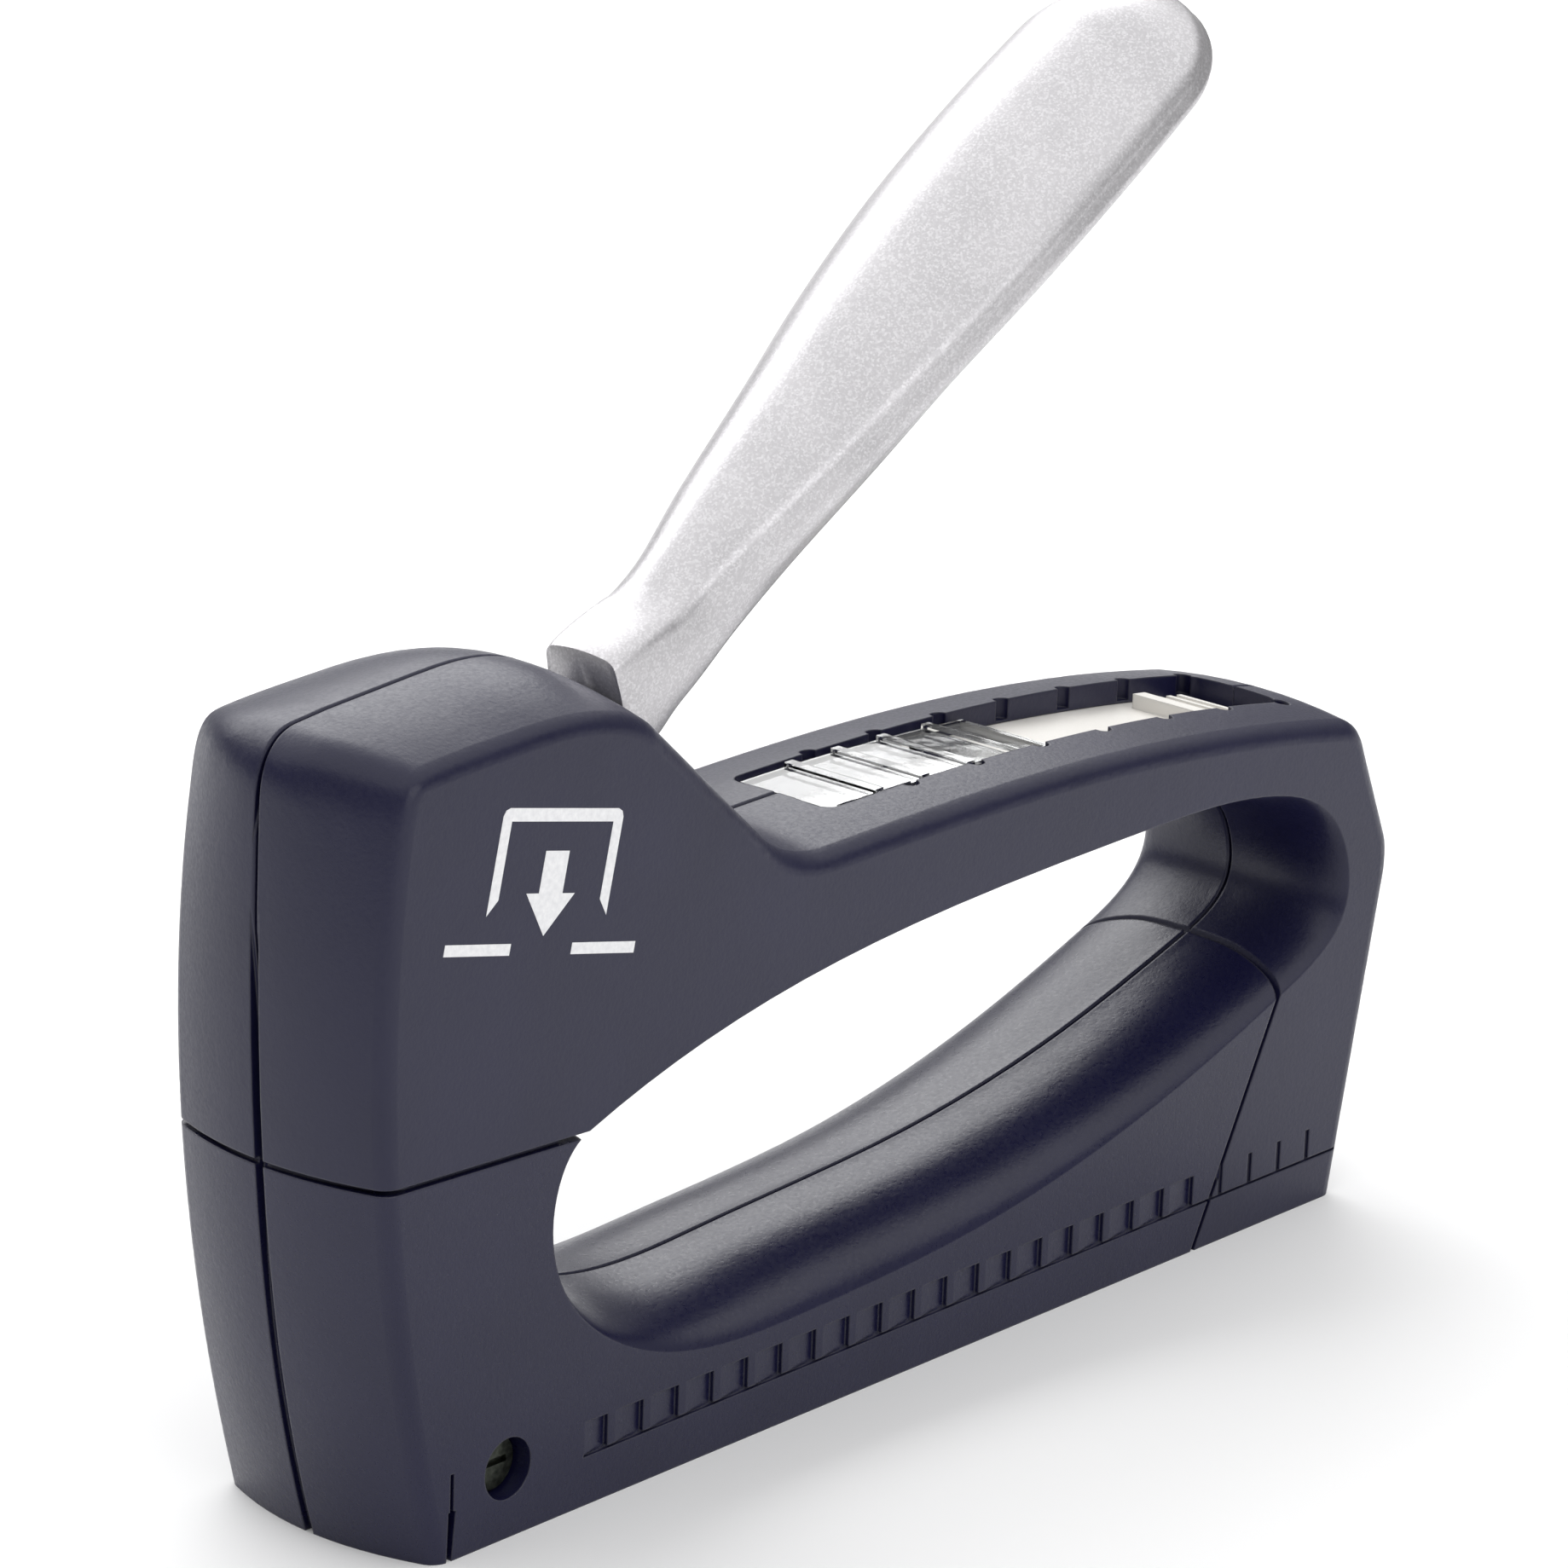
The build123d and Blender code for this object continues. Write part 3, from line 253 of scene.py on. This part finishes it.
def satin_metal(name, dark, light, rough, grain, stretch):
    """Metal with a fine drawn or rolled grain."""
    material, tree, shader, place = new_material(name)
    fine = noise(tree, place, METAL_GRAIN, 2.0, 0.6, stretch)
    tree.links.new(ramp(tree, fine, [(0.3, dark), (0.7, light)]), shader.inputs["Base Color"])
    uneven = remap(tree, fine, 0.3, 0.7, rough - 0.06, rough + 0.08)
    tree.links.new(uneven, shader.inputs["Roughness"])
    shader.inputs["Metallic"].default_value = 1.0
    bump(tree, shader, fine, grain, 0.00004)
    return material


def sparkling_silver(name):
    """Silver lacquer over metal, with fine flakes that catch the light one by one."""
    material, tree, shader, place = new_material(name)
    cells = tree.nodes.new("ShaderNodeTexVoronoi")
    cells.inputs["Scale"].default_value = FLAKE_GRAIN
    tree.links.new(place, cells.inputs["Vector"])
    flake = tree.nodes.new("ShaderNodeSeparateColor")
    tree.links.new(cells.outputs["Color"], flake.inputs["Color"])
    tone = noise(tree, place, 90.0, 2.0)
    base = ramp(tree, tone, [(0.3, (0.50, 0.49, 0.505)), (0.7, (0.57, 0.557, 0.573))])
    sparkle = remap(tree, flake.outputs["Red"], 0.4, 1.0, 0.0, 0.35)
    color = blend_colors(tree, sparkle, base, (0.90, 0.89, 0.91))
    tree.links.new(color, shader.inputs["Base Color"])
    uneven = remap(tree, flake.outputs["Green"], 0, 1, 0.36, 0.46)
    tree.links.new(uneven, shader.inputs["Roughness"])
    shader.inputs["Metallic"].default_value = 0.9
    fine = noise(tree, place, 2600.0, 2.0, 0.6)
    bump(tree, shader, sum_values(tree, fine, flake.outputs["Blue"], 0.4), 0.18, 0.00004)
    return material


def clear_plastic(name):
    """Clear moulded window with slight flow waves."""
    material, tree, shader, place = new_material(name)
    waves = noise(tree, place, 170.0, 2.0)
    fine = noise(tree, place, 2500.0)
    tint = ramp(tree, waves, [(0.3, (0.95, 0.96, 0.97)), (0.7, (0.99, 0.99, 0.99))])
    tree.links.new(tint, shader.inputs["Base Color"])
    tree.links.new(remap(tree, fine, 0.3, 0.7, 0.02, 0.05), shader.inputs["Roughness"])
    shader.inputs["Transmission Weight"].default_value = 1.0
    shader.inputs["IOR"].default_value = 1.49
    bump(tree, shader, waves, 0.2, 0.0002)
    return material


def rubber(name):
    material, tree, shader, place = new_material(name)
    fine = noise(tree, place, 900.0, 3.0)
    color = ramp(tree, fine, [(0.3, (0.012, 0.012, 0.012)), (0.7, (0.03, 0.03, 0.03))])
    tree.links.new(color, shader.inputs["Base Color"])
    shader.inputs["Roughness"].default_value = 0.8
    bump(tree, shader, fine, 0.3, 0.0001)
    return material


def print_ink(name):
    """White pad-printed ink, slightly uneven."""
    material, tree, shader, place = new_material(name)
    fine = noise(tree, place, 1800.0, 3.0)
    color = ramp(tree, fine, [(0.3, (0.74, 0.74, 0.76)), (0.7, (0.86, 0.86, 0.87))])
    tree.links.new(color, shader.inputs["Base Color"])
    tree.links.new(remap(tree, fine, 0.3, 0.7, 0.45, 0.6), shader.inputs["Roughness"])
    return material


# name: dark color, light color, roughness, depth of grain, lighter color of the edges (wear and
# painted edge highlight)
PLASTICS = {
    "housing_plastic": (
        (0.0060, 0.0060, 0.0290), (0.0085, 0.0085, 0.0350), 0.36, 0.34, (0.035, 0.035, 0.055),
    ),
    "base_plastic": (
        (0.0055, 0.0055, 0.0290), (0.0080, 0.0080, 0.0350), 0.31, 0.40, (0.04, 0.04, 0.06),
    ),
    "lid_plastic": ((0.72, 0.70, 0.66), (0.80, 0.78, 0.74), 0.4, 0.2, None),
    "cap_plastic": ((0.012, 0.012, 0.015), (0.02, 0.02, 0.023), 0.45, 0.4, None),
}
# name: dark color, light color, roughness, depth of grain, stretch of the grain
METALS = {
    "steel": ((0.40, 0.40, 0.40), (0.56, 0.56, 0.56), 0.34, 0.25, (1, 1, 12)),
    "spring_steel": ((0.28, 0.28, 0.29), (0.42, 0.42, 0.43), 0.28, 0.2, (1, 1, 1)),
    "screw_steel": ((0.05, 0.055, 0.045), (0.11, 0.12, 0.10), 0.36, 0.3, (1, 1, 1)),
    "zinc": ((0.52, 0.52, 0.50), (0.68, 0.68, 0.66), 0.3, 0.2, (12, 1, 1)),
    "bronze": ((0.42, 0.28, 0.10), (0.60, 0.42, 0.18), 0.35, 0.3, (1, 1, 1)),
    "staple_wire": ((0.56, 0.56, 0.55), (0.74, 0.74, 0.73), 0.25, 0.2, (1, 1, 1)),
}


def make_materials():
    """Every material, by the name of its slot."""
    made = {name: moulded_plastic(name, *row) for name, row in PLASTICS.items()}
    made.update({name: satin_metal(name, *row) for name, row in METALS.items()})
    made["lever_metal"] = sparkling_silver("lever_metal")
    made["rubber_pad"] = rubber("rubber_pad")
    made["clear_window"] = clear_plastic("clear_window")
    made["print_ink"] = print_ink("print_ink")
    return made


def dress_cad_nodes():
    """Gives every CAD node the detailed material of its slot."""
    slots = {row["node"]: row["material_slot"] for row in frame["record"]["subparts"]}
    for node, obj in frame["nodes"].items():
        obj.data.materials.clear()
        obj.data.materials.append(materials[slots[node]])


# ---- mesh helpers ---------------------------------------------------------------------
def new_piece(name, mesh, body, material, smooth=True):
    """A visible piece that rides on a CAD body."""
    piece = bpy.data.objects.new(name, mesh)
    bpy.context.scene.collection.objects.link(piece)
    mesh.materials.append(materials[material])
    if smooth:
        mesh.shade_smooth()
    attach(piece, body)
    return piece


def skin(rings):
    """Closed mesh through rings of points, each ring with the same number of points."""
    mesh = bpy.data.meshes.new("skin")
    work = bmesh.new()
    rows = [[work.verts.new(point) for point in ring] for ring in rings]
    count = len(rings[0])
    for first, second in zip(rows, rows[1:]):
        for i in range(count):
            j = (i + 1) % count
            work.faces.new((first[i], first[j], second[j], second[i]))
    work.faces.new(list(reversed(rows[0])))
    work.faces.new(rows[-1])
    bmesh.ops.recalc_face_normals(work, faces=work.faces)
    work.to_mesh(mesh)
    work.free()
    return mesh


# ---- lever ----------------------------------------------------------------------------
# One row per cross-section, in millimetres: x and z of the lower edge, the section's lean
# in degrees, half widths at the rim and at the belly, height of the ridge above the rim,
# rise of the crown, radius of the ridge and depth of the hollow underneath (0 to 1).
LEVER_ROWS = (
    (-32.4, 67.9, 14.8, 4.2, 4.7, 11.8, 0.3, 1.3, 0.0),
    (-31.8, 68.1, 12.5, 4.3, 4.9, 12.2, 0.35, 1.6, 0.0),
    (-30.0, 69.5, 9.6, 4.3, 5.1, 11.7, 0.4, 1.7, 0.0),
    (-28.2, 71.1, 8.0, 4.4, 5.1, 10.9, 0.5, 1.8, 0.0),
    (-26.2, 73.0, 13.0, 4.5, 5.1, 9.6, 0.8, 2.0, 0.0),
    (-23.0, 75.4, 25.0, 4.6, 5.1, 8.3, 1.3, 2.3, 0.1),
    (-18.1, 79.4, 39.5, 4.8, 5.2, 7.5, 2.1, 2.6, 0.6),
    (-11.2, 84.9, 38.5, 5.6, 6.8, 7.1, 3.3, 2.9, 1.0),
    (-1.5, 92.4, 37.0, 7.1, 8.6, 6.5, 4.6, 3.1, 1.0),
    (8.0, 100.1, 35.8, 8.7, 10.4, 5.9, 5.6, 3.2, 1.0),
    (19.2, 108.2, 34.0, 10.2, 11.8, 5.6, 6.2, 3.3, 1.0),
    (31.1, 116.2, 33.0, 10.6, 12.2, 5.4, 6.2, 3.4, 1.0),
    (39.6, 121.8, 32.5, 10.4, 12.0, 5.2, 5.8, 3.4, 1.0),
)
# From the rows' own origin to the frame's, in metres.
DRAWING_SHIFT = Vector((-0.0006, 0.0, 0.0))
# How far the tip reaches beyond a half circle, and how far its rim rises, in millimetres.
LEVER_END_STRETCH = 1.02
LEVER_END_LIFT = 1.3
LEVER_WALL = 1.9
LEVER_ROOF = 2.4
BELLY_INSET = 0.25
RIM_ROUND = 0.45
SLOPE_ROUNDS = 4
STEPS_PER_ROW = 6
END_STEPS = 14
CROWN_STEPS = 8
RIDGE_STEPS = 6


def spline_rows(rows, steps):
    """Rows interpolated along a Catmull-Rom curve through the given rows."""
    result = []
    for i in range(len(rows) - 1):
        before, first = rows[max(i - 1, 0)], rows[i]
        last, after = rows[i + 1], rows[min(i + 2, len(rows) - 1)]
        for k in range(steps):
            t = k / steps
            weights = (
                (-t + 2 * t**2 - t**3) / 2,
                (2 - 5 * t**2 + 3 * t**3) / 2,
                (t + 4 * t**2 - 3 * t**3) / 2,
                (t**3 - t**2) / 2,
            )
            quad = zip(before, first, last, after)
            result.append(tuple(sum(w * v for w, v in zip(weights, four)) for four in quad))
    result.append(rows[-1])
    return result


def lever_profile(rim, belly, ridge, crown, radius, hollow):
    """Half of the lever's wall in cross-section, from the crown round the rim to the inside."""
    shoulder = belly - BELLY_INSET
    lean = 0.4
    for _ in range(SLOPE_ROUNDS):
        reach = shoulder - radius + radius * sin(lean)
        lean = min(atan(2 * crown / reach), 0.9)
    corner_z = ridge - radius * cos(lean)
    corner_y = shoulder - radius
    points = []
    for k in range(CROWN_STEPS + 1):
        y = reach * k / CROWN_STEPS
        points.append((y, ridge + crown * (1 - (y / reach) ** 2)))
    for k in range(1, RIDGE_STEPS + 1):
        turn = lean + (pi / 2 - lean) * k / RIDGE_STEPS
        points.append((corner_y + radius * sin(turn), corner_z + radius * cos(turn)))
    for share in (0.8, 0.6, 0.4, 0.2):
        bulge = 4 * share * (1 - share)
        straight = rim + (shoulder - rim) * share
        y = straight + (belly - (rim + shoulder) / 2) * bulge
        points.append((y, RIM_ROUND + (corner_z - RIM_ROUND) * share))
    points += [(rim, RIM_ROUND), (rim - 0.13, 0.13), (rim - RIM_ROUND, 0.0)]
    inner = max(rim - LEVER_WALL, 0.5)
    roof = 0.05 + hollow * max(ridge - LEVER_ROOF, 0.2)
    points += [(inner, 0.0), (inner, 0.5 * roof), (inner, roof), (0.5 * inner, roof), (0.0, roof)]
    return points


def lever_mesh():
    """Lever grip: a wall swept up one side, round the tip and down the other side."""
    rows = spline_rows(LEVER_ROWS, STEPS_PER_ROW)
    stations = []
    for side in (-1, 1):
        part = []
        for x, z, lean, *shape in rows:
            turn = radians(lean)
            up = Vector((-sin(turn), 0, cos(turn)))
            out = Vector((0, side, 0))
            part.append((Vector((x, 0, z)), up, out, 0.0, shape))
        stations.append(part)
    x, z, lean, *shape = rows[-1]
    turn = radians(lean)
    up = Vector((-sin(turn), 0, cos(turn)))
    along = Vector((cos(turn), 0, sin(turn)))
    end = []
    for k in range(1, 2 * END_STEPS):
        angle = pi * k / (2 * END_STEPS)
        ahead = sin(angle)
        out = along * ahead * LEVER_END_STRETCH + Vector((0, -cos(angle), 0))
        end.append((Vector((x, 0, z)), up, out, LEVER_END_LIFT * ahead**2, shape))
    path = stations[0] + end + list(reversed(stations[1]))
    rings = []
    for place, up, out, lift, shape in path:
        profile = lever_profile(*shape)
        top = profile[0][1]
        ring = []
        for y, h in profile:
            raised = h + lift * (1 - h / top) * (y / shape[1])
            ring.append((place + out * y + up * raised) * 0.001 + DRAWING_SHIFT)
        rings.append(ring)
    mesh = bpy.data.meshes.new("lever")
    work = bmesh.new()
    grid = [[work.verts.new(point) for point in ring] for ring in rings]
    for first, second in zip(grid, grid[1:]):
        for i in range(len(first) - 1):
            work.faces.new((first[i], first[i + 1], second[i + 1], second[i]))
    work.faces.new(grid[0] + list(reversed(grid[-1])))
    bmesh.ops.remove_doubles(work, verts=work.verts, dist=1e-6)
    bmesh.ops.recalc_face_normals(work, faces=work.faces)
    work.to_mesh(mesh)
    work.free()
    return mesh


def add_lever():
    """Lever grip in the place of the CAD solid."""
    lever = new_piece("lever_cast_grip", lever_mesh(), "lever", "lever_metal")
    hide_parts("lever_grip")


# ---- staples --------------------------------------------------------------------------
STAPLE_PITCH = 0.0005
STAPLE_WIRE = 0.0005
NICK_SHARE = 0.22
NICK_DEPTH = 0.00009
SHOULDER_ROUND = 0.0003


def staple_section(x, half, foot, top, inset):
    """U-shaped outline of one staple at x, with rounded shoulders."""
    outer = half - inset
    inner = half - STAPLE_WIRE + inset
    head = top - inset
    roof = top - STAPLE_WIRE + inset
    soft = SHOULDER_ROUND
    sides = []
    for side in (1, -1):
        sides.append([
            (side * inner, foot),
            (side * outer, foot),
            (side * outer, head - soft),
            (side * (outer - 0.3 * soft), head - 0.3 * soft),
            (side * (outer - soft), head),
        ])
    points = sides[0] + list(reversed(sides[1])) + [(-inner, roof), (inner, roof)]
    return [Vector((x, y, z)) for y, z in points]


def add_staples(name, node, body):
    """Glued strip of staples, one by one, in the place of a CAD strip."""
    low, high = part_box(node)
    half = high[1]
    count = round((high[0] - low[0]) / STAPLE_PITCH)
    pitch = (high[0] - low[0]) / count
    rings = []
    for index in range(count):
        x = low[0] + index * pitch
        nick = pitch * NICK_SHARE
        for offset, inset in ((0.0, NICK_DEPTH), (nick, 0.0), (pitch - nick, 0.0)):
            rings.append(staple_section(x + offset, half, low[2], high[2], inset))
    rings.append(staple_section(high[0], half, low[2], high[2], NICK_DEPTH))
    strip = new_piece(name, skin(rings), body, "staple_wire", smooth=False)
    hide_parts(node)


# ---- springs --------------------------------------------------------------------------
MAIN_WIRE = 0.0014
MAIN_TURNS = 6
FEED_WIRE = 0.0005
FEED_PITCH = 0.0026
COIL_STEPS = 28
WIRE_STEPS = 10


def spring_mesh(start, axis, radius, wire, length, turns):
    """Helical wire from start along an axis, wound round it."""
    axis = Vector(axis)
    across = Vector((0, 1, 0))
    third = axis.cross(across)
    count = round(turns * COIL_STEPS)
    rings = []
    for index in range(count + 1):
        turn = 2 * pi * turns * index / count
        outward = across * cos(turn) + third * sin(turn)
        middle = Vector(start) + axis * (length * index / count) + outward * radius
        ring = []
        for k in range(WIRE_STEPS):
            angle = 2 * pi * k / WIRE_STEPS
            ring.append(middle + (outward * cos(angle) + axis * sin(angle)) * wire / 2)
        rings.append(ring)
    return skin(rings)


def add_springs():
    """Both springs as helical wire, each in the place of its CAD solid."""
    low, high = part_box("main_spring")
    wire = MAIN_WIRE
    radius = (high[1] - low[1] - wire) / 2
    length = high[2] - low[2] - wire
    start = ((low[0] + high[0]) / 2, 0, low[2] + wire / 2)
    mesh = spring_mesh(start, (0, 0, 1), radius, wire, length, MAIN_TURNS)
    spring = new_piece("main_spring_coils", mesh, "housing", "spring_steel")
    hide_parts("main_spring")
    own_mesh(spring)

    low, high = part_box("feed_spring")
    wire = FEED_WIRE
    radius = (high[1] - low[1] - wire) / 2
    length = high[0] - low[0] - wire
    start = (low[0] + wire / 2, 0, (low[2] + high[2]) / 2)
    mesh = spring_mesh(start, (1, 0, 0), radius, wire, length, length / FEED_PITCH)
    spring = new_piece("feed_spring_coils", mesh, "magazine", "spring_steel")
    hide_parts("feed_spring")
    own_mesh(spring)


# ---- printed pictogram ----------------------------------------------------------------
PRINT_Y = -0.01379
PRINT_PROUD = 0.00005
PRINT_TILT = -12.5
PRINT_CENTRE = (-0.0540, 0.0625)


def print_shape(name, outline):
    """Thin raised ink patch on the left side of the head, in millimetres round its centre."""
    tilt = radians(PRINT_TILT)
    x0, z0 = PRINT_CENTRE
    rings = []
    for y in (PRINT_Y, PRINT_Y - PRINT_PROUD):
        ring = []
        for u, v in outline:
            x = x0 + 0.001 * (u * cos(tilt) - v * sin(tilt))
            z = z0 + 0.001 * (u * sin(tilt) + v * cos(tilt))
            ring.append(Vector((x, y, z)))
        rings.append(ring)
    return new_piece(name, skin(rings), "housing", "print_ink", smooth=False)


def staple_outline(half, height, stroke, point):
    """Plain staple seen from the front, with pointed legs."""
    right = [
        (half, -point),
        (half, height - 0.8),
        (half - 0.25, height - 0.25),
        (half - 0.8, height),
    ]
    left = [(-u, v) for u, v in reversed(right)]
    inside = [
        (-half + stroke, 0.0),
        (-half + stroke, height - stroke),
        (half - stroke, height - stroke),
        (half - stroke, 0.0),
    ]
    return right + left + inside


def add_pictogram():
    """Generic staple symbol over a line that stands for the work."""
    print_shape("print_staple", staple_outline(8.2, 8.6, 1.25, 1.5))
    for index, side in enumerate((-1, 1)):
        inner, outer = side * 4.2, side * 13.0
        bar = [(inner, -4.1), (outer, -4.1), (outer, -5.2), (inner, -5.2)]
        print_shape(f"print_line_{index}", bar)
    arrow_head = [(1.6, 0.6), (3.3, 0.6), (0.0, -3.4), (-3.3, 0.6), (-1.6, 0.6)]
    print_shape("print_arrow", [(-1.6, 4.6), (1.6, 4.6)] + arrow_head)


materials = make_materials()
dress_cad_nodes()
add_lever()
add_staples("spare_staple_strip", "spare_staples", "housing")
add_staples("loaded_staple_strip", "staple_strip", "housing")
add_springs()
add_pictogram()
add_floor()
add_world(SURROUND)
add_camera()
bpy.context.scene.view_settings.view_transform = "Standard"
for lamp_row in LAMPS:
    add_lamp(*lamp_row)
